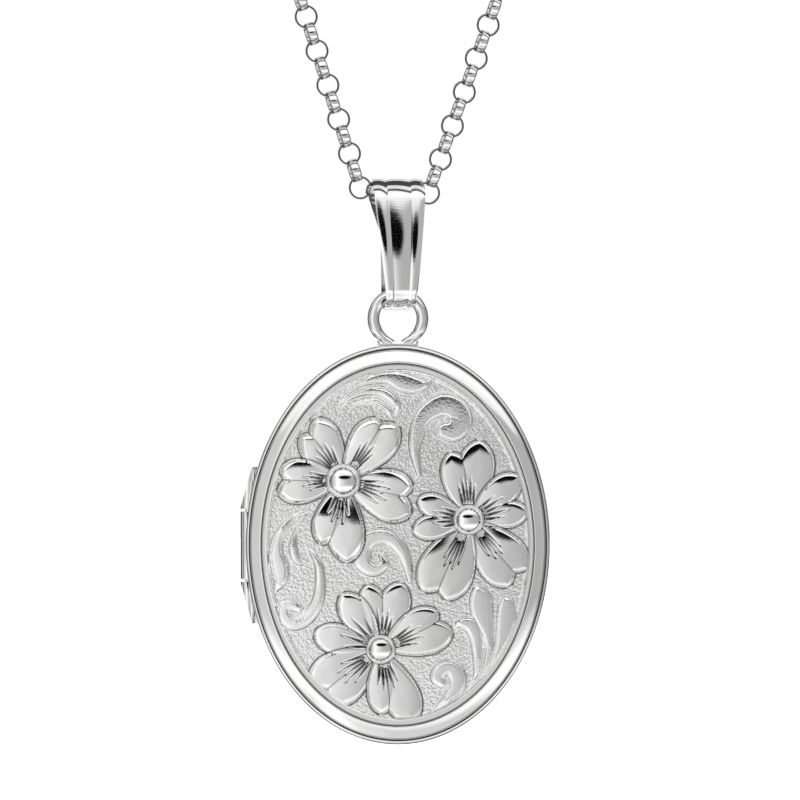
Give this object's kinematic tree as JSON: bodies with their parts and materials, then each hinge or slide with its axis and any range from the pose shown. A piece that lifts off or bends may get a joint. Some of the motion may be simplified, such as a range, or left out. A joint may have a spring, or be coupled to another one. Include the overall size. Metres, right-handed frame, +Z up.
{
  "type": "locket",
  "caption": "Oval hinged photo locket in polished silver with an embossed flower front, hung by a wire loop and a fluted bail on a rolo chain.",
  "frame": {"origin": "centre of the back cover's flat outer face", "axes": "+Z up towards the loop, bail and chain; the front faces -Y; the cover's hinge is on the -X side"},
  "size_m": [0.0204, 0.005, 0.0498],
  "materials": {
    "polished_silver": "polished",
    "embossed_silver": "satin",
    "picture_paper": "matte",
    "clear_acetate": "gloss"
  },
  "bodies": {
    "locket_back": {"back_cover": "polished_silver", "back_inner_rim": "polished_silver", "hinge_knuckle_upper": "polished_silver", "hinge_knuckle_lower": "polished_silver", "hinge_pin": "polished_silver", "loop_pad": "polished_silver", "hanging_loop": "polished_silver", "back_photo_card": "picture_paper", "back_photo_window": "clear_acetate", "back_photo_bezel": "polished_silver"},
    "front_cover": {"front_rim": "polished_silver", "front_panel": "embossed_silver", "hinge_knuckle_centre": "polished_silver", "front_photo_card": "picture_paper", "front_photo_window": "clear_acetate", "front_photo_bezel": "polished_silver"},
    "bail": {"bail": "polished_silver"},
    "chain_under_bail": {"chain_link_middle": "polished_silver", "chain_link_under_left": "polished_silver", "chain_link_under_right": "polished_silver"},
    "left_link_01": {"chain_link_left_01": "polished_silver"},
    "left_link_02": {"chain_link_left_02": "polished_silver"},
    "left_link_03": {"chain_link_left_03": "polished_silver"},
    "left_link_04": {"chain_link_left_04": "polished_silver"},
    "left_link_05": {"chain_link_left_05": "polished_silver"},
    "left_link_06": {"chain_link_left_06": "polished_silver"},
    "left_link_07": {"chain_link_left_07": "polished_silver"},
    "left_link_08": {"chain_link_left_08": "polished_silver"},
    "left_link_09": {"chain_link_left_09": "polished_silver"},
    "left_link_10": {"chain_link_left_10": "polished_silver"},
    "left_link_11": {"chain_link_left_11": "polished_silver"},
    "left_link_12": {"chain_link_left_12": "polished_silver"},
    "right_link_01": {"chain_link_right_01": "polished_silver"},
    "right_link_02": {"chain_link_right_02": "polished_silver"},
    "right_link_03": {"chain_link_right_03": "polished_silver"},
    "right_link_04": {"chain_link_right_04": "polished_silver"},
    "right_link_05": {"chain_link_right_05": "polished_silver"},
    "right_link_06": {"chain_link_right_06": "polished_silver"},
    "right_link_07": {"chain_link_right_07": "polished_silver"},
    "right_link_08": {"chain_link_right_08": "polished_silver"},
    "right_link_09": {"chain_link_right_09": "polished_silver"},
    "right_link_10": {"chain_link_right_10": "polished_silver"},
    "right_link_11": {"chain_link_right_11": "polished_silver"},
    "right_link_12": {"chain_link_right_12": "polished_silver"}
  },
  "joints": [
    {"name": "cover_hinge", "type": "hinge", "parent": "locket_back", "child": "front_cover", "pos_m": [-0.00987, -0.00255, 0], "axis": [0, 0, -1], "range_deg": [0, 130]},
    {"name": "bail_swing", "type": "hinge", "parent": "locket_back", "child": "bail", "pos_m": [-0.00008, -0.0016, 0.01632], "axis": [0.9857, 0.1685, 0], "range_deg": [-75, 75]},
    {"name": "chain_swing", "type": "hinge", "parent": "bail", "child": "chain_under_bail", "pos_m": [-0.00008, -0.0016, 0.0228], "axis": [0.9857, 0.1685, 0], "range_deg": [-60, 60]},
    {"name": "left_curl", "type": "hinge", "parent": "chain_under_bail", "child": "left_link_01", "pos_m": [-0.0025, -0.00201, 0.02349], "axis": [0.1685, -0.9857, 0], "range_deg": [-7, 25]},
    {"name": "left_fold", "type": "hinge", "parent": "left_link_01", "child": "left_link_02", "pos_m": [-0.00286, -0.00207, 0.02461], "axis": [0.9385, 0.1604, 0.3057], "range_deg": [-15, 15]},
    {"name": "left_curl_2", "type": "hinge", "parent": "left_link_02", "child": "left_link_03", "pos_m": [-0.00321, -0.00214, 0.02574], "axis": [0.1685, -0.9857, 0], "range_deg": [-7, 25]},
    {"name": "left_fold_2", "type": "hinge", "parent": "left_link_03", "child": "left_link_04", "pos_m": [-0.00357, -0.0022, 0.02686], "axis": [0.9385, 0.1604, 0.3057], "range_deg": [-15, 15]},
    {"name": "left_curl_3", "type": "hinge", "parent": "left_link_04", "child": "left_link_05", "pos_m": [-0.00392, -0.00226, 0.02798], "axis": [0.1685, -0.9857, 0], "range_deg": [-7, 25]},
    {"name": "left_fold_3", "type": "hinge", "parent": "left_link_05", "child": "left_link_06", "pos_m": [-0.00428, -0.00232, 0.02911], "axis": [0.9385, 0.1604, 0.3057], "range_deg": [-15, 15]},
    {"name": "left_curl_4", "type": "hinge", "parent": "left_link_06", "child": "left_link_07", "pos_m": [-0.00463, -0.00238, 0.03023], "axis": [0.1685, -0.9857, 0], "range_deg": [-7, 25]},
    {"name": "left_fold_4", "type": "hinge", "parent": "left_link_07", "child": "left_link_08", "pos_m": [-0.00499, -0.00244, 0.03135], "axis": [0.9385, 0.1604, 0.3057], "range_deg": [-15, 15]},
    {"name": "left_curl_5", "type": "hinge", "parent": "left_link_08", "child": "left_link_09", "pos_m": [-0.00534, -0.0025, 0.03248], "axis": [0.1685, -0.9857, 0], "range_deg": [-7, 25]},
    {"name": "left_fold_5", "type": "hinge", "parent": "left_link_09", "child": "left_link_10", "pos_m": [-0.0057, -0.00256, 0.0336], "axis": [0.9385, 0.1604, 0.3057], "range_deg": [-15, 15]},
    {"name": "left_curl_6", "type": "hinge", "parent": "left_link_10", "child": "left_link_11", "pos_m": [-0.00606, -0.00262, 0.03473], "axis": [0.1685, -0.9857, 0], "range_deg": [-7, 25]},
    {"name": "left_fold_6", "type": "hinge", "parent": "left_link_11", "child": "left_link_12", "pos_m": [-0.00641, -0.00268, 0.03585], "axis": [0.9385, 0.1604, 0.3057], "range_deg": [-15, 15]},
    {"name": "right_curl", "type": "hinge", "parent": "chain_under_bail", "child": "right_link_01", "pos_m": [0.002, -0.00124, 0.02316], "axis": [-0.1685, 0.9857, 0], "range_deg": [-7, 25]},
    {"name": "right_fold", "type": "hinge", "parent": "right_link_01", "child": "right_link_02", "pos_m": [0.00239, -0.00118, 0.02427], "axis": [0.9274, 0.1585, -0.3387], "range_deg": [-15, 15]},
    {"name": "right_curl_2", "type": "hinge", "parent": "right_link_02", "child": "right_link_03", "pos_m": [0.00279, -0.00111, 0.02538], "axis": [-0.1685, 0.9857, 0], "range_deg": [-7, 25]},
    {"name": "right_fold_2", "type": "hinge", "parent": "right_link_03", "child": "right_link_04", "pos_m": [0.00318, -0.00104, 0.02649], "axis": [0.9274, 0.1585, -0.3387], "range_deg": [-15, 15]},
    {"name": "right_curl_3", "type": "hinge", "parent": "right_link_04", "child": "right_link_05", "pos_m": [0.00358, -0.00098, 0.0276], "axis": [-0.1685, 0.9857, 0], "range_deg": [-7, 25]},
    {"name": "right_fold_3", "type": "hinge", "parent": "right_link_05", "child": "right_link_06", "pos_m": [0.00397, -0.00091, 0.02871], "axis": [0.9274, 0.1585, -0.3387], "range_deg": [-15, 15]},
    {"name": "right_curl_4", "type": "hinge", "parent": "right_link_06", "child": "right_link_07", "pos_m": [0.00436, -0.00084, 0.02982], "axis": [-0.1685, 0.9857, 0], "range_deg": [-7, 25]},
    {"name": "right_fold_4", "type": "hinge", "parent": "right_link_07", "child": "right_link_08", "pos_m": [0.00476, -0.00077, 0.03093], "axis": [0.9274, 0.1585, -0.3387], "range_deg": [-15, 15]},
    {"name": "right_curl_5", "type": "hinge", "parent": "right_link_08", "child": "right_link_09", "pos_m": [0.00515, -0.00071, 0.03204], "axis": [-0.1685, 0.9857, 0], "range_deg": [-7, 25]},
    {"name": "right_fold_5", "type": "hinge", "parent": "right_link_09", "child": "right_link_10", "pos_m": [0.00555, -0.00064, 0.03315], "axis": [0.9274, 0.1585, -0.3387], "range_deg": [-15, 15]},
    {"name": "right_curl_6", "type": "hinge", "parent": "right_link_10", "child": "right_link_11", "pos_m": [0.00594, -0.00057, 0.03426], "axis": [-0.1685, 0.9857, 0], "range_deg": [-7, 25]},
    {"name": "right_fold_6", "type": "hinge", "parent": "right_link_11", "child": "right_link_12", "pos_m": [0.00633, -0.0005, 0.03537], "axis": [0.9274, 0.1585, -0.3387], "range_deg": [-15, 15]}
  ],
  "couplings": [
    {"joint": "left_curl_2", "follows": "left_curl", "ratio": 1},
    {"joint": "left_fold_2", "follows": "left_fold", "ratio": 1},
    {"joint": "left_curl_3", "follows": "left_curl", "ratio": 1},
    {"joint": "left_fold_3", "follows": "left_fold", "ratio": 1},
    {"joint": "left_curl_4", "follows": "left_curl", "ratio": 1},
    {"joint": "left_fold_4", "follows": "left_fold", "ratio": 1},
    {"joint": "left_curl_5", "follows": "left_curl", "ratio": 1},
    {"joint": "left_fold_5", "follows": "left_fold", "ratio": 1},
    {"joint": "left_curl_6", "follows": "left_curl", "ratio": 1},
    {"joint": "left_fold_6", "follows": "left_fold", "ratio": 1},
    {"joint": "right_curl_2", "follows": "right_curl", "ratio": 1},
    {"joint": "right_fold_2", "follows": "right_fold", "ratio": 1},
    {"joint": "right_curl_3", "follows": "right_curl", "ratio": 1},
    {"joint": "right_fold_3", "follows": "right_fold", "ratio": 1},
    {"joint": "right_curl_4", "follows": "right_curl", "ratio": 1},
    {"joint": "right_fold_4", "follows": "right_fold", "ratio": 1},
    {"joint": "right_curl_5", "follows": "right_curl", "ratio": 1},
    {"joint": "right_fold_5", "follows": "right_fold", "ratio": 1},
    {"joint": "right_curl_6", "follows": "right_curl", "ratio": 1},
    {"joint": "right_fold_6", "follows": "right_fold", "ratio": 1}
  ]
}
